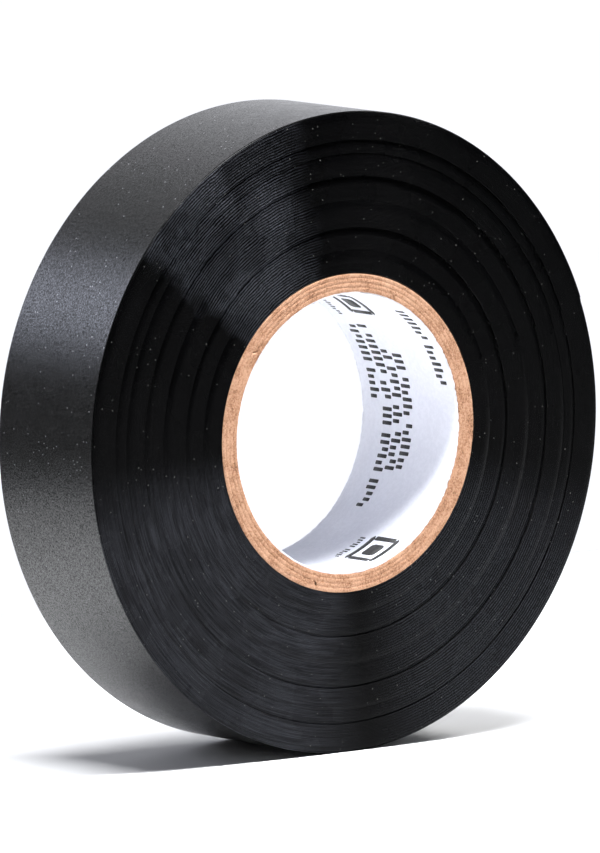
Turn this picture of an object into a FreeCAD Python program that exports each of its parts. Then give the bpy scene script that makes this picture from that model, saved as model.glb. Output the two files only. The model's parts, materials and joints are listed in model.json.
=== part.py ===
import FreeCAD
import Part

import math
import os

# Roll of black PVC electrical tape on a paper core, standing on its rim.
#
# Millimetres. +Z is up, +Y runs along the bore and the front face looks along -Y. The origin is on the
# bore's axis, halfway through the roll's width. Angles go from +X towards +Z.
#
# The core is a spiral-wound paper tube, cut to length: a white liner and kraft plies, each a ring with one
# slanting butt seam. The tape is one long strip, wound clockwise as seen from the front. Every turn is two
# half circles about two centres half a pitch apart, so each turn lies on the one before. The adhesive bonds
# the turns that show as one band on the roll's faces into one solid, whose outline steps in where the strip
# enters and out where it leaves. The last turn and the free end, in two lengths that peel off, are single
# film.

# The tape strip.
TAPE_WIDTH = 19.0
FILM = 0.16  # PVC film
ADHESIVE = 0.03  # inside a band it is solid, and elsewhere it is left as a space
PITCH = FILM + ADHESIVE

# The paper core.
BORE_RADIUS = 17.6
CORE_RADIUS = 20.1
CORE_WIDTH = 19.4
LINER = 0.2
KRAFT_PLIES = 4
GLUE = 0.02  # glue line between plies
KRAFT = (CORE_RADIUS - BORE_RADIUS - LINER - KRAFT_PLIES * GLUE) / KRAFT_PLIES

# The butt seams, liner first. Each angle is where the seam crosses the middle of the core's width.
SEAM_GAP = 0.3
SEAM_TILT = 50.0  # degrees between a seam and the core's axis
SEAM_ANGLES = (190.0, 105.3, 180.3, 290.0, 70.4)
SLAB_REACH = 1.2 * CORE_RADIUS  # what is cut out for a seam goes past the core's outside
SLAB_LENGTH = 3 * CORE_WIDTH  # and past both its ends on the slant

# The winding, from the core outwards. An offset is how far a band stands forward of the roll's middle plane.
BAND_TURNS = (15, 15, 18, 16, 15, 9, 18)
BAND_OFFSETS = (0.12, -0.04, 0.08, -0.08, 0.05, -0.03, 0.02)

# The free end.
TIP_ANGLE = 20.0  # where the strip ends on the rim
TAIL_STEP = 25.0  # length of each peeling piece, as an angle about the bore
BEND_GAP = 0.1  # film left out where a peeling piece bends

FULL_TURN = 360.0
HALF_TURN = 180.0
FIRST_RADIUS = CORE_RADIUS + ADHESIVE
TURNS = sum(BAND_TURNS) + 1
ORIGIN = FreeCAD.Vector(0, 0, 0)
SIDEWAYS = FreeCAD.Vector(1, 0, 0)
FORWARD = FreeCAD.Vector(0, -1, 0)
BACKWARD = FreeCAD.Vector(0, 1, 0)


def ring(inner_radius, outer_radius, width):
    """A plain ring about the bore's axis, centred on the origin."""
    front = FORWARD * (width / 2)
    outside = Part.makeCylinder(outer_radius, width, front, BACKWARD)
    inside = Part.makeCylinder(inner_radius, width, front, BACKWARD)
    return outside.cut(inside)


def seam_slab(angle):
    """A thin slab across one side of the core on a slant. A ply cut by it has its butt seam."""
    corner = FreeCAD.Vector(0, -SLAB_LENGTH / 2, -SEAM_GAP / 2)
    slab = Part.makeBox(SLAB_REACH, SLAB_LENGTH, SEAM_GAP, corner)
    slab.rotate(ORIGIN, SIDEWAYS, SEAM_TILT)
    slab.rotate(ORIGIN, FORWARD, angle)
    return slab


def core_pieces():
    """The printed liner and the kraft plies, from the bore outwards."""
    pieces = {}
    inner_radius = BORE_RADIUS
    for number, angle in enumerate(SEAM_ANGLES):
        name = f"core_ply_{number}" if number else "core_liner"
        thickness = KRAFT if number else LINER
        ply = ring(inner_radius, inner_radius + thickness, CORE_WIDTH)
        pieces[name] = ply.cut(seam_slab(angle))
        inner_radius += thickness + GLUE
    return pieces


def strip_point(turn_angle, height, half_turn):
    """A point of the wound strip, on the roll's middle plane.

    turn_angle is in degrees from the strip's inner end. height is the distance above the film's inner face.
    half_turn says which arc is meant, because two arcs share the point where they join.
    """
    radius = FIRST_RADIUS + height + half_turn * PITCH / 2
    shift = PITCH / 2 if half_turn % 2 else 0.0
    around = math.radians(turn_angle % FULL_TURN)
    tip = math.radians(TIP_ANGLE)
    along = shift + radius * math.cos(around)
    across = radius * math.sin(around)
    x = along * math.cos(tip) + across * math.sin(tip)
    z = along * math.sin(tip) - across * math.cos(tip)
    return FreeCAD.Vector(x, 0, z)


def spiral_arcs(start, end, height):
    """Arcs along the strip between two turn angles. No arc runs on from one half turn into the next."""
    arcs = []
    half_turn = int(start // HALF_TURN)
    while half_turn * HALF_TURN < end:
        first = max(start, half_turn * HALF_TURN)
        last = min(end, (half_turn + 1) * HALF_TURN)
        angles = (first, (first + last) / 2, last)
        points = [strip_point(angle, height, half_turn) for angle in angles]
        arcs.append(Part.Arc(*points).toShape())
        half_turn += 1
    return arcs


def strip(start, end):
    """The stretch of single film between two turn angles, as wide as the tape."""
    inner = spiral_arcs(start, end, 0.0)
    outer = spiral_arcs(start, end, FILM)
    cut_start = Part.makeLine(outer[0].Vertexes[0].Point, inner[0].Vertexes[0].Point)
    cut_end = Part.makeLine(inner[-1].Vertexes[-1].Point, outer[-1].Vertexes[-1].Point)
    outline = Part.Wire([cut_start] + inner + [cut_end] + outer[::-1])
    film = Part.Face(outline).extrude(BACKWARD * TAPE_WIDTH)
    film.translate(FORWARD * (TAPE_WIDTH / 2))
    return film


def spiral_disc(start, height, offset):
    """What lies inside one turn of the strip, as wide as the tape. It has a step where the turn closes."""
    arcs = spiral_arcs(start, start + FULL_TURN, height)
    step = Part.makeLine(arcs[-1].Vertexes[-1].Point, arcs[0].Vertexes[0].Point)
    disc = Part.Face(Part.Wire(arcs + [step])).extrude(BACKWARD * TAPE_WIDTH)
    disc.translate(FORWARD * (TAPE_WIDTH / 2 + offset))
    return disc


def band(start, end, offset):
    """The turns between two turn angles, bonded into one solid."""
    return spiral_disc(end - FULL_TURN, FILM, offset).cut(spiral_disc(start, 0.0, offset))


def band_pieces():
    """The runs of turns that show as bands on the roll's faces, from the core outwards."""
    pieces = {}
    start = 0.0
    for number, (turns, offset) in enumerate(zip(BAND_TURNS, BAND_OFFSETS), 1):
        end = start + turns * FULL_TURN
        pieces[f"tape_band_{number}"] = band(start, end, offset)
        start = end
    return pieces


def tail_angles():
    """Turn angles of the two bends and of the strip's outer end."""
    tip = TURNS * FULL_TURN
    return tip - 2 * TAIL_STEP, tip - TAIL_STEP, tip


def outer_pieces():
    """The last turn and the free end, which peels off in two lengths."""
    root, middle, tip = tail_angles()
    gap = math.degrees(BEND_GAP / (FIRST_RADIUS + TURNS * PITCH))
    last_turn = (TURNS - 1) * FULL_TURN
    return {
        "outer_wrap": strip(last_turn, root - gap),
        "tail_base": strip(root, middle - gap),
        "tail_tip": strip(middle, tip),
    }


def save(name, shape):
    """Writes one piece, and stops the build if it isn't one sound solid."""
    if not shape.isValid() or len(shape.Solids) != 1 or shape.Volume <= 0:
        raise ValueError(f"{name} isn't one sound solid")
    shape.exportStep(f"parts/{name}.step")
    print(f"{name}: {shape.Volume:.2f} mm3")


def main():
    os.makedirs("parts", exist_ok=True)
    for name, shape in {**core_pieces(), **band_pieces(), **outer_pieces()}.items():
        save(name, shape)
    last_half_turn = 2 * TURNS - 1
    for name, turn_angle in zip(("root bend", "middle bend", "tip"), tail_angles()):
        point = strip_point(turn_angle, FILM, last_half_turn)
        print(f"{name}: x {point.x:.4f}, z {point.z:.4f}")


main()
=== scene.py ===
import json
import math

import bpy
import numpy as np
from mathutils import Matrix, Vector


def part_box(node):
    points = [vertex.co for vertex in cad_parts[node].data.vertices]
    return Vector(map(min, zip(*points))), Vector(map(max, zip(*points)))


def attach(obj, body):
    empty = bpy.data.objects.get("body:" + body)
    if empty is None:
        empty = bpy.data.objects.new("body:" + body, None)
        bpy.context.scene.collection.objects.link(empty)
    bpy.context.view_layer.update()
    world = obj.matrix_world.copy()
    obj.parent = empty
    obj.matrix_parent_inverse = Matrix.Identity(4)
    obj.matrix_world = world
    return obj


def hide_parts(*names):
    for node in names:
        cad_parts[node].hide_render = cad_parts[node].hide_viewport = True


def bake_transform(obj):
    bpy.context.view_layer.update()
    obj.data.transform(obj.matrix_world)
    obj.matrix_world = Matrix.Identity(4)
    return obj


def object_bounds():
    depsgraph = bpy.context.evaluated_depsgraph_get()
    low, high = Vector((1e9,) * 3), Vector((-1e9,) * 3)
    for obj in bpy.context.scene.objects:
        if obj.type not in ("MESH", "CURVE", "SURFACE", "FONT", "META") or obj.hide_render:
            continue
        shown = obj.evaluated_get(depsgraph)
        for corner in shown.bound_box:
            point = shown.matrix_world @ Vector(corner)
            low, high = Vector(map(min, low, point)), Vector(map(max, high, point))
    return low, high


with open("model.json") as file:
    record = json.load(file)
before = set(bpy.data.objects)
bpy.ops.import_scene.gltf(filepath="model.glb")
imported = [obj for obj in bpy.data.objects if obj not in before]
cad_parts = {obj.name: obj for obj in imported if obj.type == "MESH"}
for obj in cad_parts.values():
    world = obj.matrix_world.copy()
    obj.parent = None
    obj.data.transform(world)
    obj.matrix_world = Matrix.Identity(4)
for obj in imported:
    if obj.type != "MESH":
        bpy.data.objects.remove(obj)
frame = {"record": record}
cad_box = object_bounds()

# Electrical tape roll, in metres, in the CAD frame: +Y along the bore, +Z up, the front face towards -Y.
# Angles go from +X towards +Z. A turn angle is counted along the strip from its inner end, in degrees.

MM = 0.001
FULL_TURN = 360.0
HALF_TURN = 180.0

# The strip, as the CAD model winds it.
FILM = 0.16 * MM
ADHESIVE = 0.03 * MM
PITCH = FILM + ADHESIVE
CORE_RADIUS = 20.1 * MM
FIRST_RADIUS = CORE_RADIUS + ADHESIVE
BAND_TURNS = (15, 15, 18, 16, 15, 9, 18)
TURNS = sum(BAND_TURNS) + 1
TIP_ANGLE = 20.0
TAIL_STEP = 25.0
ROUNDING = 0.008 * MM  # how far the film's cut edges are rounded
RIM_ROUNDING = 0.06 * MM  # and on the roll's outermost turn, which is handled
BAND_SEGMENTS = 192  # points to a turn
OUTER_SEGMENTS = 720

# The core.
BORE_RADIUS = next(m["dims"]["r_mm"] for m in frame["record"]["mounts"] if m["name"] == "core_bore") * MM
LINER = 0.2 * MM
GLUE = 0.02 * MM
PLY_NODES = ("core_liner", "core_ply_1", "core_ply_2", "core_ply_3", "core_ply_4")
KRAFT_PLIES = len(PLY_NODES) - 1
KRAFT = (CORE_RADIUS - BORE_RADIUS - LINER - KRAFT_PLIES * GLUE) / KRAFT_PLIES
SEAM_GAP = 0.3 * MM
SEAM_SLOPE = math.tan(math.radians(50.0))  # a seam lies 50 degrees from the core's axis
SEAM_ANGLES = (190.0, 105.3, 180.3, 290.0, 70.4)
PLY_SEGMENTS = 300
PLY_ROWS = 27  # rows of points across a ply, besides the two that round its edges
PLY_ROUNDING = 0.015 * MM
FRAY_WAVES = 90  # how fine a ply's torn edge is
FRAY_GRAIN = 0.3  # and how rough from point to point, as a share of its depth
TEAR_POWER = 12  # the higher, the closer to its end the film's torn shape begins

# The camera, far off with a long lens.
CAMERA_AZIMUTH = -38.18
CAMERA_ELEVATION = 7.08
CAMERA_ROLL = -0.49
CAMERA_DISTANCE = 2.0
CAMERA_LENS = 669.7
CAMERA_SHIFT = (-0.113 * MM, -0.05 * MM)  # how far right and up of the roll's middle it aims

rng = np.random.default_rng(7)


# ---------- meshes ----------

def shell(name, inner, outer, materials, smooth_edges=True):
    """A closed piece between two grids of points, both indexed [along, across].

    Along runs clockwise as seen from the front, across runs towards +Y. materials are those of the outer
    surface, the inner surface and the edges.
    """
    along, across = inner.shape[:2]
    under = np.arange(along * across).reshape(along, across)
    over = under + along * across
    regions = []

    def quads(a, b, c, d, region, smooth):
        corners = np.stack([a.ravel(), b.ravel(), c.ravel(), d.ravel()], axis=1)
        regions.append((corners, np.broadcast_to(region, a.shape).ravel(), smooth))

    is_rim = np.zeros((along - 1, across - 1), bool)
    is_rim[:, [0, -1]] = across > 3
    quads(over[:-1, :-1], over[1:, :-1], over[1:, 1:], over[:-1, 1:], np.where(is_rim, 2, 0), True)
    quads(under[:-1, :-1], under[:-1, 1:], under[1:, 1:], under[1:, :-1], np.where(is_rim, 2, 1), True)
    quads(under[:-1, 0], under[1:, 0], over[1:, 0], over[:-1, 0], 2, smooth_edges)
    quads(under[:-1, -1], over[:-1, -1], over[1:, -1], under[1:, -1], 2, smooth_edges)
    quads(under[0, :-1], over[0, :-1], over[0, 1:], under[0, 1:], 2, False)
    quads(under[-1, :-1], under[-1, 1:], over[-1, 1:], over[-1, :-1], 2, False)

    faces = np.concatenate([r[0] for r in regions])
    points = np.concatenate([inner.reshape(-1, 3), outer.reshape(-1, 3)])
    mesh = bpy.data.meshes.new(name)
    mesh.from_pydata(points.tolist(), [], faces.tolist())
    mesh.polygons.foreach_set("material_index", np.concatenate([r[1] for r in regions]).astype(np.int32))
    mesh.polygons.foreach_set("use_smooth", np.concatenate([np.full(len(r[0]), r[2]) for r in regions]))
    for material in materials:
        mesh.materials.append(material)
    piece = bpy.data.objects.new(name, mesh)
    bpy.context.scene.collection.objects.link(piece)
    return piece


def spiral(turn_angle, height):
    """x and z of points on the wound strip, as the CAD model's half circles give them."""
    half_turn = np.clip(np.floor(turn_angle / HALF_TURN), 0, 2 * TURNS - 1)
    radius = FIRST_RADIUS + height + half_turn * PITCH / 2
    shift = (half_turn % 2) * PITCH / 2
    around = np.radians(turn_angle)
    tip = math.radians(TIP_ANGLE)
    along = shift + radius * np.cos(around)
    lateral = radius * np.sin(around)
    return along * math.cos(tip) + lateral * math.sin(tip), along * math.sin(tip) - lateral * math.cos(tip)


# How the strip strays along the bore: a value for each turn, and the knife's chatter every few degrees.
TURN_WANDER = rng.normal(0, 0.003 * MM, TURNS + 2)
CHATTER_STEP = 3.0
CHATTER = rng.normal(0, 0.004 * MM, int(TURNS * FULL_TURN / CHATTER_STEP) + 3)
ROUGH_PLACE = 120.0  # where the chatter is worst, how far to either side, and how much worse
ROUGH_WIDTH = 17.0
ROUGH_GAIN = 3.5
SLUMP = 0.14 * MM  # how far back the last turn of a band has slipped
SLUMP_TURNS = 5


def wander(turn_angle, outward):
    """How far the strip strays along the bore, some share of a turn further out.

    It strays from turn to turn and with the slitting knife's chatter, and the last turns of a band have
    slipped back.
    """
    turn = turn_angle / FULL_TURN
    steady = np.interp(turn + outward, np.arange(len(TURN_WANDER)), TURN_WANDER)
    chatter = np.interp(turn_angle / CHATTER_STEP, np.arange(len(CHATTER)), CHATTER)
    place = (TIP_ANGLE - turn_angle) % FULL_TURN
    rough = np.exp(-(((place - ROUGH_PLACE) / ROUGH_WIDTH) ** 2))
    band_ends = np.cumsum(BAND_TURNS)
    band_ends[-1] = TURNS
    left = band_ends[np.searchsorted(band_ends[:-1], turn, side="right")] - turn - outward
    slump = SLUMP * np.clip(1 - left / SLUMP_TURNS, 0, None) ** 2
    return steady + chatter * (1 + ROUGH_GAIN * rough) + slump


def strip_widths(low_y, high_y, rounding, between=0):
    """Places across the strip: its rounded edges, a support line beside each, and any number between."""
    support = 4 * rounding
    inside = np.linspace(low_y + support, high_y - support, between + 2)
    return np.concatenate([[low_y, low_y + rounding], inside, [high_y - rounding, high_y]])


def strip(name, node, start, end, segments, materials, between=0, ragged=None, rounding=ROUNDING):
    """A stretch of the strip between two turn angles, in the place of a CAD node.

    ragged gives how far the end falls short at each place across the strip, as a turn angle.
    """
    low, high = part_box(node)
    widths = strip_widths(low.y, high.y, rounding, between)
    count = max(2, int(round((end - start) / FULL_TURN * segments)) + 1)
    turn_angle = np.repeat(np.linspace(start, end, count)[:, None], len(widths), axis=1)
    if ragged is not None:
        share = np.linspace(0, 1, count)[:, None] ** TEAR_POWER
        turn_angle = turn_angle - share * ragged(widths)[None, :]
    inset = np.zeros(len(widths))
    inset[[0, -1]] = rounding
    layers = []
    for height, outward in ((inset, 0.0), (FILM - inset, FILM / PITCH)):
        x, z = spiral(turn_angle, height[None, :])
        y = widths[None, :] + wander(turn_angle, outward)
        layers.append(np.stack([x, y, z], axis=2))
    return shell(name, layers[0], layers[1], materials, smooth_edges=False)


def noise_line(count, waves):
    """Smooth random values round a circle, the last equal to the first."""
    angles = np.linspace(0, 2 * math.pi, count)
    values = np.zeros(count)
    for wave in range(1, waves):
        amplitude = rng.normal() / math.sqrt(wave)
        values += amplitude * np.sin(wave * angles + rng.uniform(0, 2 * math.pi))
    return values / np.abs(values).max()


def ply(name, node, inner_radius, outer_radius, seam, materials, fray):
    """A paper ply: a ring with one slanting butt seam and slightly torn ends."""
    low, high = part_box(node)
    rows = np.linspace(low.y, high.y, PLY_ROWS)
    widths = np.concatenate([[low.y, low.y + PLY_ROUNDING], rows[1:-1], [high.y - PLY_ROUNDING, high.y]])
    inset = np.zeros(len(widths))
    inset[[0, -1]] = PLY_ROUNDING
    gap = SEAM_GAP / inner_radius
    turned = np.linspace(2 * math.pi - gap / 2, gap / 2, PLY_SEGMENTS)[:, None]
    front = noise_line(PLY_SEGMENTS, FRAY_WAVES) * fray
    back = noise_line(PLY_SEGMENTS, FRAY_WAVES) * fray
    layers = []
    for radius in (inner_radius + inset, outer_radius - inset):
        slant = np.arcsin(widths * SEAM_SLOPE / radius)
        angle = math.radians(seam) + slant[None, :] + turned
        y = np.repeat(widths[None, :], PLY_SEGMENTS, axis=0)
        tear = rng.normal(0, FRAY_GRAIN, PLY_SEGMENTS) * fray
        y[:, :2] += np.abs(front + tear)[:, None]
        y[:, -2:] -= np.abs(back + tear)[:, None]
        spread = np.broadcast_to(radius[None, :], angle.shape)
        layers.append(np.stack([spread * np.cos(angle), y, spread * np.sin(angle)], axis=2))
    return shell(name, layers[0], layers[1], materials)


# ---------- materials ----------

def new_material(name):
    """A node material: returns it, its node tree, its shader and a function that adds a node."""
    material = bpy.data.materials.new(name)
    material.use_nodes = True
    tree = material.node_tree
    shader = tree.nodes["Principled BSDF"]

    def add(kind, inputs=None, **settings):
        node = tree.nodes.new(kind)
        for key, value in settings.items():
            setattr(node, key, value)
        for key, value in (inputs or {}).items():
            if isinstance(value, bpy.types.NodeSocket):
                tree.links.new(value, node.inputs[key])
            else:
                node.inputs[key].default_value = value
        return node

    return material, tree, shader, add


def ramp(add, factor, stops):
    """A colour ramp: stops are (position, grey or colour)."""
    node = add("ShaderNodeValToRGB", {"Fac": factor})
    elements = node.color_ramp.elements
    while len(elements) < len(stops):
        elements.new(0.5)
    for element, (position, value) in zip(elements, stops):
        element.position = position
        colour = (value,) * 3 if isinstance(value, (int, float)) else value
        element.color = (*colour, 1)
    return node.outputs["Color"]


def noise(add, vector, scale, detail=3.0, roughness=0.5):
    """Noise at so many features to the metre."""
    inputs = {"Vector": vector, "Scale": scale, "Detail": detail, "Roughness": roughness}
    return add("ShaderNodeTexNoise", inputs).outputs["Fac"]


def math_node(add, operation, first, second):
    """A sum, product or comparison of two sockets or numbers."""
    return add("ShaderNodeMath", {0: first, 1: second}, operation=operation).outputs[0]


def times(add, first, second):
    return math_node(add, "MULTIPLY", first, second)


def plus(add, first, second):
    return math_node(add, "ADD", first, second)


def join_xyz(add, x, y, z):
    return add("ShaderNodeCombineXYZ", {"X": x, "Y": y, "Z": z}).outputs[0]


def polar(add, place, around, outward):
    """Coordinates that run round the bore's axis: the direction times around, the radius times outward."""
    parts = add("ShaderNodeSeparateXYZ", {0: place})
    flat = join_xyz(add, parts.outputs["X"], 0.0, parts.outputs["Z"])
    radius = add("ShaderNodeVectorMath", {0: flat}, operation="LENGTH").outputs["Value"]
    direction = add("ShaderNodeVectorMath", {0: flat}, operation="NORMALIZE").outputs[0]
    scaled = add("ShaderNodeVectorMath", {0: direction, "Scale": around}, operation="SCALE").outputs[0]
    split = add("ShaderNodeSeparateXYZ", {0: scaled})
    return join_xyz(add, split.outputs["X"], times(add, radius, outward), split.outputs["Z"])


DUST_SCALE = 2500.0  # cells of dust to the metre, most of them empty


def dust(add, place, threshold, size):
    """1 on a speck of dust, 0 elsewhere: a few cells of a cell pattern, each with a small round spot."""
    cells = add("ShaderNodeTexVoronoi", {"Vector": place, "Scale": DUST_SCALE, "Randomness": 1.0})
    near = math_node(add, "LESS_THAN", cells.outputs["Distance"], size)
    draw = add("ShaderNodeSeparateColor", {0: cells.outputs["Color"]}).outputs[0]
    return times(add, near, math_node(add, "GREATER_THAN", draw, threshold))


def dust_over(add, place, colour, threshold, size, grey):
    """A colour with dust over it."""
    inputs = {"Factor": dust(add, place, threshold, size), "A": colour, "B": (*grey, 1)}
    return add("ShaderNodeMix", inputs, data_type="RGBA").outputs["Result"]


def link_bump(tree, shader, add, height, strength, depth):
    """Shades the surface as if a pattern stood out from it."""
    bump = add("ShaderNodeBump", {"Height": height, "Strength": strength, "Distance": depth})
    tree.links.new(bump.outputs["Normal"], shader.inputs["Normal"])


def sector(add, place, angle, full, none):
    """1 round an angle on the roll's face, as far as full degrees to either side, and 0 beyond none."""
    flat = add("ShaderNodeVectorMath", {0: place, 1: (1, 0, 1)}, operation="MULTIPLY").outputs[0]
    direction = add("ShaderNodeVectorMath", {0: flat}, operation="NORMALIZE").outputs[0]
    towards = (math.cos(math.radians(angle)), 0, math.sin(math.radians(angle)))
    facing = add("ShaderNodeVectorMath", {0: direction, 1: towards}, operation="DOT_PRODUCT").outputs["Value"]
    starts, ends = math.cos(math.radians(none)), math.cos(math.radians(full))
    limits = {"Value": facing, "From Min": starts, "From Max": ends}
    return add("ShaderNodeMapRange", limits, interpolation_type="SMOOTHSTEP").outputs["Result"]


def black_film(name, roughness_range, grain_strength):
    """The film's broad surface: satin black vinyl with a fine leathery grain, uneven gloss and dust."""
    material, tree, shader, add = new_material(name)
    place = add("ShaderNodeTexCoord").outputs["Object"]
    grain = noise(add, place, 4600.0, 3.0, 0.7)
    black = ramp(add, grain, [(0.35, 0.001), (0.68, 0.01)])
    dusty = dust_over(add, place, black, 0.95, 0.2, (0.16, 0.16, 0.17))
    tree.links.new(dusty, shader.inputs["Base Color"])
    scuffs = noise(add, place, 420.0, 5.0, 0.65)
    stops = list(zip((0.3, 0.7), roughness_range))
    tree.links.new(ramp(add, scuffs, stops), shader.inputs["Roughness"])
    link_bump(tree, shader, add, grain, grain_strength, 0.05 * MM)
    # Pits in the grain reflect less. About the average is set too, for a viewer that drops the link.
    specular = shader.inputs["Specular IOR Level"]
    specular.default_value = 0.43
    tree.links.new(ramp(add, grain, [(0.38, 0.1), (0.6, 0.75)]), specular)
    return material


# Paler sectors painted on the faces as highlight and reflection: an angle, and how far either side of it each
# is full and ends.
ROUGH_CUT_SHEEN = (126.0, 9.0, 28.0)
ROUGH_CUT_SHEEN_END = (52.0, 87.0, 92.0)  # multiplied in, so that the rough cut and its painted highlight end sharply on its left
SIDE_CUT_SHEEN = (312.0, 5.0, 38.0)
FLOOR_REFLECTION_SECTOR = (228.0, 26.0, 47.0)
LINE_SPACING = 0.34 * MM  # between the knife's rings
WAVE_PERIOD = 2 * math.pi / 20  # of a wave texture at scale 1, in metres


def cut_lines(add, place):
    """The knife's marks on the face: fine rings, broken up by short strokes across them."""
    inputs = {"Vector": place, "Scale": WAVE_PERIOD / LINE_SPACING}
    inputs.update({"Distortion": 4.0, "Detail": 3.0, "Detail Scale": 0.6})
    rings = add("ShaderNodeTexWave", inputs, wave_type="RINGS", rings_direction="Y").outputs["Fac"]
    strokes = noise(add, polar(add, place, 260.0, 1400.0), 1.0, 3.0, 0.8)
    ringed = ramp(add, rings, [(0.4, 0.05), (0.95, 1.0)])
    return times(add, ringed, ramp(add, strokes, [(0.38, 0.2), (0.62, 1.0)]))


STRAY = 6 * MM  # the place moves by at most half of this each way


def strayed(add, place):
    """The place, moved this way and that, so that a sector worked out from it has a ragged edge."""
    blur = add("ShaderNodeTexNoise", {"Vector": place, "Scale": 300.0, "Detail": 3.0}).outputs["Color"]
    shift = add("ShaderNodeVectorMath", {0: blur, 1: (0.5, 0.5, 0.5)}, operation="SUBTRACT").outputs[0]
    inputs = {0: shift, 1: (STRAY, STRAY, STRAY), 2: place}
    return add("ShaderNodeVectorMath", inputs, operation="MULTIPLY_ADD").outputs[0]


def edge_grey_and_sheen(add, place, lines, patches):
    """How grey the slit edges are: finely lined, more in sectors as painted highlights over the rough cut and
    a painted floor reflection.
    """
    cut = cut_lines(add, place)
    ragged = strayed(add, place)
    # The rough cut's knife marks, made grey in their sector as a painted highlight of the overhead lamp.
    rough_cut_sheen = times(add, cut, sector(add, ragged, *ROUGH_CUT_SHEEN))
    rough_cut_sheen = times(add, rough_cut_sheen, sector(add, ragged, *ROUGH_CUT_SHEEN_END))
    rough_cut_sheen = times(add, rough_cut_sheen, ramp(add, patches, [(0.38, 0.4), (0.6, 1.0)]))
    # The knife marks in a second sector, grey as a painted highlight of the overhead lamp.
    side_cut_sheen = times(add, cut, sector(add, place, *SIDE_CUT_SHEEN))
    # A painted reflection of the lit floor on the lower left of the face, patchy and streaked along the
    # rings.
    painted_reflection = times(add, ramp(add, patches, [(0.3, 0.55), (0.7, 1.0)]), sector(add, place, *FLOOR_REFLECTION_SECTOR))
    streaked_reflection = times(add, painted_reflection, ramp(add, lines, [(0.4, 0.3), (0.62, 1.0)]))
    grey = times(add, rough_cut_sheen, 0.11)
    for part, share in ((side_cut_sheen, 0.045), (streaked_reflection, 0.033), (lines, 0.0015)):
        grey = plus(add, grey, times(add, part, share))
    return grey


def cut_film():
    """The strip's slit edges, which make up the winding's faces: black, finely lined, grey in places as
    painted sheen.
    """
    material, tree, shader, add = new_material("film_cut_edge")
    place = add("ShaderNodeTexCoord").outputs["Object"]
    lines = noise(add, polar(add, place, 5.0, 5400.0), 1.0, 2.0, 0.7)
    patches = noise(add, place, 130.0, 3.0, 0.55)
    grey = edge_grey_and_sheen(add, place, lines, patches)
    # Most of this grey is painted sheen, tinted bluish as the lamps' light is.
    tinted = add("ShaderNodeVectorMath", {0: (0.93, 0.97, 1.15), "Scale": grey}, operation="SCALE").outputs[0]
    dusty = dust_over(add, place, tinted, 0.955, 0.17, (0.14, 0.14, 0.13))
    tree.links.new(dusty, shader.inputs["Base Color"])
    tree.links.new(ramp(add, patches, [(0.3, 0.24), (0.7, 0.32)]), shader.inputs["Roughness"])
    shader.inputs["Specular IOR Level"].default_value = 0.05
    link_bump(tree, shader, add, lines, 0.5, 0.02 * MM)
    return material


def paper(name, dark, light, fibre_scale, strength, roughness, fleck_share=1.0):
    """Paper with fibres that lie every way and a soft mottle. Flecks are that share of the dark colour."""
    material, tree, shader, add = new_material(name)
    place = add("ShaderNodeTexCoord").outputs["Object"]
    fibres = noise(add, place, fibre_scale, 6.0, 0.7)
    mottle = noise(add, place, fibre_scale / 9, 3.0, 0.5)
    mixed = plus(add, times(add, fibres, 0.7), times(add, mottle, 0.3))
    fleck = [fleck_share * channel for channel in dark]
    stops = [(0.36, fleck), (0.43, dark), (0.57, light)]
    tree.links.new(ramp(add, mixed, stops), shader.inputs["Base Color"])
    link_bump(tree, shader, add, fibres, strength, 0.05 * MM)
    shader.inputs["Roughness"].default_value = roughness
    shader.inputs["Specular IOR Level"].default_value = 0.25
    return material


def ink():
    """Black printing ink, a little worn."""
    material, tree, shader, add = new_material("print_ink")
    place = add("ShaderNodeTexCoord").outputs["Object"]
    wear = noise(add, place, 2600.0, 4.0, 0.7)
    tree.links.new(ramp(add, wear, [(0.35, 0.005), (0.72, 0.03)]), shader.inputs["Base Color"])
    shader.inputs["Roughness"].default_value = 0.6
    return material


def floor_material():
    """White board, very slightly uneven."""
    material, tree, shader, add = new_material("floor_white")
    place = add("ShaderNodeTexCoord").outputs["Object"]
    tree.links.new(ramp(add, noise(add, place, 3.0), [(0.3, 0.88), (0.7, 0.9)]), shader.inputs["Base Color"])
    shader.inputs["Roughness"].default_value = 0.7
    return material


# ---------- the object ----------

def make_bands(film, adhesive, edge):
    """The seven bands, from the core outwards, each a stretch of the strip."""
    start = 0.0
    for number, turns in enumerate(BAND_TURNS, 1):
        node = f"tape_band_{number}"
        end = start + turns * FULL_TURN
        piece = strip(f"{node}_film", node, start, end, BAND_SEGMENTS, (film, adhesive, edge))
        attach(piece, "roll")
        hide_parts(node)
        start = end


def torn_end(widths):
    """How far the strip's torn end falls short across its width, as a turn angle."""
    share = (widths - widths[0]) / (widths[-1] - widths[0])
    return 0.35 + 0.25 * np.sin(9 * share) + 0.12 * np.sin(31 * share + 1) + 0.08 * np.sin(57 * share)


def make_outer_wrap(film, adhesive, edge):
    """The last turn and the free end, in three pieces that meet without the CAD solids' gaps."""
    tip = TURNS * FULL_TURN
    root = tip - 2 * TAIL_STEP
    middle = tip - TAIL_STEP
    last_turn = (TURNS - 1) * FULL_TURN
    fine = 4 * OUTER_SEGMENTS
    rim = {"materials": (film, adhesive, edge), "rounding": RIM_ROUNDING}
    wrap = strip("outer_wrap_film", "outer_wrap", last_turn, root, OUTER_SEGMENTS, **rim)
    base = strip("tail_base_film", "tail_base", root, middle, fine, **rim)
    end = strip("tail_tip_film", "tail_tip", middle, tip, fine, between=40, ragged=torn_end, **rim)
    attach(wrap, "roll")
    for piece, parent, child in ((base, "roll", "tail_base"), (end, "tail_base", "tail_tip")):
        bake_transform(piece)
    for piece, node in ((wrap, "outer_wrap"), (base, "tail_base"), (end, "tail_tip")):
        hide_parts(node)


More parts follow.
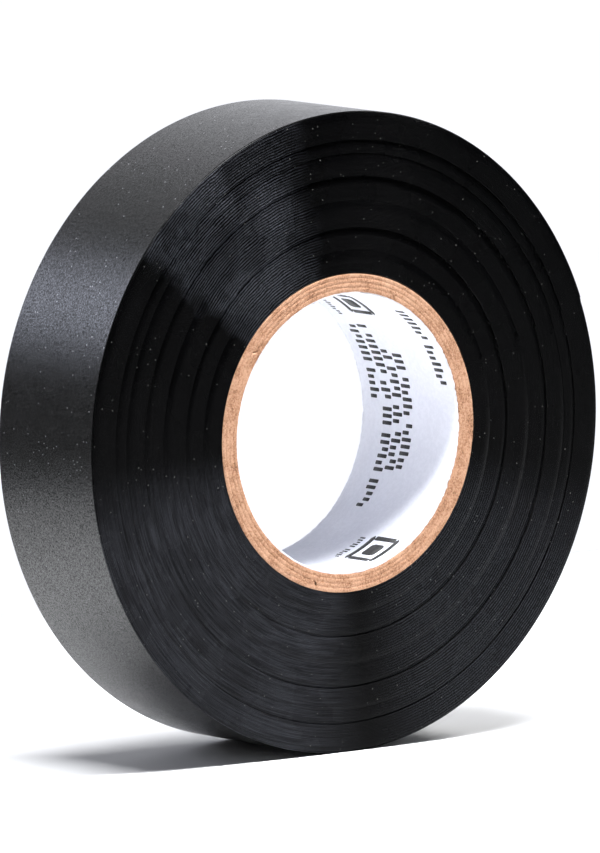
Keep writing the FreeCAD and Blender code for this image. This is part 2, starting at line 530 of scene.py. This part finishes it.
def make_core(kraft, white):
    """The liner and the kraft plies. All but the outermost are thicker by a glue line, so that they touch."""
    inner = BORE_RADIUS
    for number, (node, seam) in enumerate(zip(PLY_NODES, SEAM_ANGLES)):
        thickness = KRAFT if number else LINER
        material = kraft if number else white
        fray = (0.05 if number else 0.2) * MM
        glued = GLUE if number < KRAFT_PLIES else 0.0
        piece = ply(f"{node}_paper", node, inner, inner + thickness + glued, seam, (material,) * 3, fray)
        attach(piece, "roll")
        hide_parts(node)
        inner += thickness + GLUE


INK_HEIGHT = 0.012 * MM
INK_SUNK = 0.02 * MM
BAR_POINTS = 12


def bar(start, end, y, height):
    """Grids of a printed bar with round corners, from one angle to another on the bore: inner then outer."""
    angles = np.linspace(math.radians(end), math.radians(start), BAR_POINTS)
    to_end = np.minimum(angles - angles[-1], angles[0] - angles) * BORE_RADIUS
    corner = min(height, to_end.max()) / 2
    cut = corner - np.sqrt(np.clip(corner ** 2 - np.clip(corner - to_end, 0, corner) ** 2, 0, None))
    half_width = np.maximum(height / 2 - cut, height / 20)
    across = y + half_width[:, None] * np.array([-1.0, 0.0, 1.0])[None, :]
    layers = []
    for radius in (BORE_RADIUS - INK_HEIGHT, BORE_RADIUS + INK_SUNK):
        x = np.repeat(radius * np.cos(angles)[:, None], 3, axis=1)
        z = np.repeat(radius * np.sin(angles)[:, None], 3, axis=1)
        layers.append(np.stack([x, across, z], axis=2))
    return layers


def degrees_of(length):
    """A length along the bore's wall, as an angle."""
    return math.degrees(length / BORE_RADIUS)


# Ticks, as shares of their row's height.
TICK_THICKNESS = 0.27
TICK_PITCH = 0.48
SHORT_TICK = 0.68
WORD_GAP = 0.8  # between groups, as a share of the ticks' pitch


def tick_row(start, end, y, height):
    """Groups of upright ticks in place of a line of words."""
    thick = degrees_of(TICK_THICKNESS * height)
    pitch = degrees_of(TICK_PITCH * height)
    ticks = []
    at = start
    while at < end:
        for _ in range(rng.integers(3, 9)):
            tall = rng.choice((1.0, 1.0, SHORT_TICK))
            lean = (1 - tall) * rng.choice((-0.5, 0.5))
            if at < end:
                ticks.append(bar(at, at + thick, y + lean * height, tall * height))
            at += pitch
        at += WORD_GAP * pitch
    return ticks


def framed_mark(angle, y, size):
    """A square frame round a solid square, in place of a printed badge."""
    reach = degrees_of(size / 2)
    thick = size / 7
    marks = [bar(angle - 0.45 * reach, angle + 0.45 * reach, y, 0.45 * size)]
    for side in (-1, 1):
        marks.append(bar(angle - reach, angle + reach, y + side * (size - thick) / 2, thick))
        middle = angle + side * (reach - degrees_of(thick / 2))
        marks.append(bar(middle - degrees_of(thick / 2), middle + degrees_of(thick / 2), y, size - 2 * thick))
    return marks


# Rows of ticks: first and last angle, then place across the bore and height in millimetres.
PRINT_ROWS = (
    (-23, 26, 0.4, 1.85), (-24, 28, 2.5, 1.85), (-42, 39, 4.6, 1.85), (5, 40, 6.9, 1.8),
    (15, 58, -7.4, 1.8), (-74, -56, -0.7, 1.0), (46, 58, 7.3, 1.0),
)
FRAMED_MARKS = ((-65, -5.0, 5.6), (57, 1.7, 5.2))  # angle, then place across and size in millimetres


def make_print(material):
    """Generic printing on the liner, as one piece."""
    marks = []
    for start, end, y, height in PRINT_ROWS:
        marks += tick_row(start, end, y * MM, height * MM)
    for angle, y, size in FRAMED_MARKS:
        marks += framed_mark(angle, y * MM, size * MM)
    pieces = [shell(f"mark_{i}", inner, outer, (material,) * 3) for i, (inner, outer) in enumerate(marks)]
    with bpy.context.temp_override(active_object=pieces[0], selected_editable_objects=pieces):
        bpy.ops.object.join()
    pieces[0].name = "liner_print"
    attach(pieces[0], "roll")


# ---------- the studio ----------

FLOOR_REACH = 1.5
FLOOR_BACK = 0.12
FLOOR_THICKNESS = 0.01


def make_floor(height):
    """A white table, which ends a little way behind the roll so that the backdrop shows white there."""
    x, y = np.meshgrid([-FLOOR_REACH, 0.0, FLOOR_REACH], [-FLOOR_REACH, 0.0, FLOOR_BACK], indexing="ij")
    under = np.stack([x, y, np.full_like(x, height - FLOOR_THICKNESS)], axis=2)
    over = np.stack([x, y, np.full_like(x, height)], axis=2)
    floor = shell("floor", under, over, (floor_material(),) * 3)


def area_light(name, place, size, power, colour=(1, 1, 1)):
    """A soft box that faces the roll from a place. The camera doesn't see it."""
    data = bpy.data.lights.new(name, "AREA")
    data.shape = "RECTANGLE"
    data.size, data.size_y = size
    data.energy = power
    data.color = colour
    light = bpy.data.objects.new(name, data)
    bpy.context.scene.collection.objects.link(light)
    light.location = place
    light.rotation_mode = "QUATERNION"
    light.rotation_quaternion = light.location.to_track_quat("Z", "Y")
    light.visible_camera = False


def make_world():
    """A white backdrop, dim towards the front and dark where the roll's face mirrors it, with side fill."""
    world = bpy.data.worlds.new("studio")
    bpy.context.scene.world = world
    world.use_nodes = True
    tree = world.node_tree
    shade = tree.nodes["Background"]
    place = tree.nodes.new("ShaderNodeTexCoord")

    def lobe(direction, low, high, values):
        """Goes smoothly from one value to another as the view turns towards a direction."""
        facing = tree.nodes.new("ShaderNodeVectorMath")
        facing.operation = "DOT_PRODUCT"
        facing.inputs[1].default_value = Vector(direction).normalized()
        tree.links.new(place.outputs["Generated"], facing.inputs[0])
        spread = tree.nodes.new("ShaderNodeMapRange")
        spread.interpolation_type = "SMOOTHSTEP"
        for key, value in zip(("From Min", "From Max", "To Min", "To Max"), (low, high, *values)):
            spread.inputs[key].default_value = value
        tree.links.new(facing.outputs["Value"], spread.inputs["Value"])
        return spread.outputs["Result"]

    def combine(operation, first, second):
        """A sum or product of two sockets."""
        node = tree.nodes.new("ShaderNodeMath")
        node.operation = operation
        tree.links.new(first, node.inputs[0])
        tree.links.new(second, node.inputs[1])
        return node.outputs[0]

    backdrop = lobe((0.3, 0.9, 0.0), 0.55, 0.9, (0.04, 1.05))
    dark_front = lobe((0.61, -0.78, -0.12), 0.3, 0.8, (1.0, 0.2))
    side_fill = lobe((-0.95, -0.25, 0.2), 0.3, 0.9, (0.0, 0.15))
    strength = combine("ADD", combine("MULTIPLY", backdrop, dark_front), side_fill)
    tree.links.new(strength, shade.inputs["Strength"])
    shade.inputs["Color"].default_value = (0.965, 0.975, 1.03, 1)


def make_lights():
    """Three soft boxes and the backdrop."""
    area_light("overhead_box", (-0.035, -0.072, 0.38), (0.32, 0.05), 4.8, (0.96, 0.975, 1.0))
    area_light("right_box", (0.3, -0.042, 0.26), (0.14, 0.12), 1.4)
    area_light("back_left_box", (-0.46, 0.78, 0.43), (0.32, 0.32), 1.45, (0.8, 0.84, 1.0))
    make_world()


def make_camera():
    """A camera with a long lens, aimed close to the roll's middle."""
    data = bpy.data.cameras.new("camera")
    data.sensor_width = 36
    data.lens = CAMERA_LENS
    data.clip_start = 0.1
    data.clip_end = 20
    camera = bpy.data.objects.new("camera", data)
    bpy.context.scene.collection.objects.link(camera)
    azimuth, elevation, roll = (math.radians(a) for a in (CAMERA_AZIMUTH, CAMERA_ELEVATION, CAMERA_ROLL))
    level = Vector((math.cos(azimuth), math.sin(azimuth), 0))
    back = Vector((level.y * math.cos(elevation), -level.x * math.cos(elevation), math.sin(elevation)))
    above = back.cross(level)
    right = level * math.cos(roll) + above * math.sin(roll)
    up = above * math.cos(roll) - level * math.sin(roll)
    camera.location = right * CAMERA_SHIFT[0] + up * CAMERA_SHIFT[1] + back * CAMERA_DISTANCE
    camera.rotation_mode = "QUATERNION"
    camera.rotation_quaternion = Matrix((right, up, back)).transposed().to_quaternion()
    bpy.context.scene.camera = camera


def main():
    scene = bpy.context.scene
    scene.view_settings.view_transform = "Standard"
    film = black_film("film_surface", (0.2, 0.27), 0.5)
    adhesive = black_film("film_adhesive", (0.18, 0.26), 0.15)
    edge = cut_film()
    make_camera()
    make_bands(film, adhesive, edge)
    make_outer_wrap(film, adhesive, edge)
    kraft = paper("kraft", (0.352, 0.174, 0.096), (0.552, 0.322, 0.206), 4800.0, 0.8, 0.9, 0.35)
    white = paper("liner_white", (0.76, 0.77, 0.83), (0.81, 0.82, 0.88), 1800.0, 0.15, 0.7)
    make_core(kraft, white)
    make_print(ink())
    make_floor(cad_box[0].z)
    make_lights()


main()
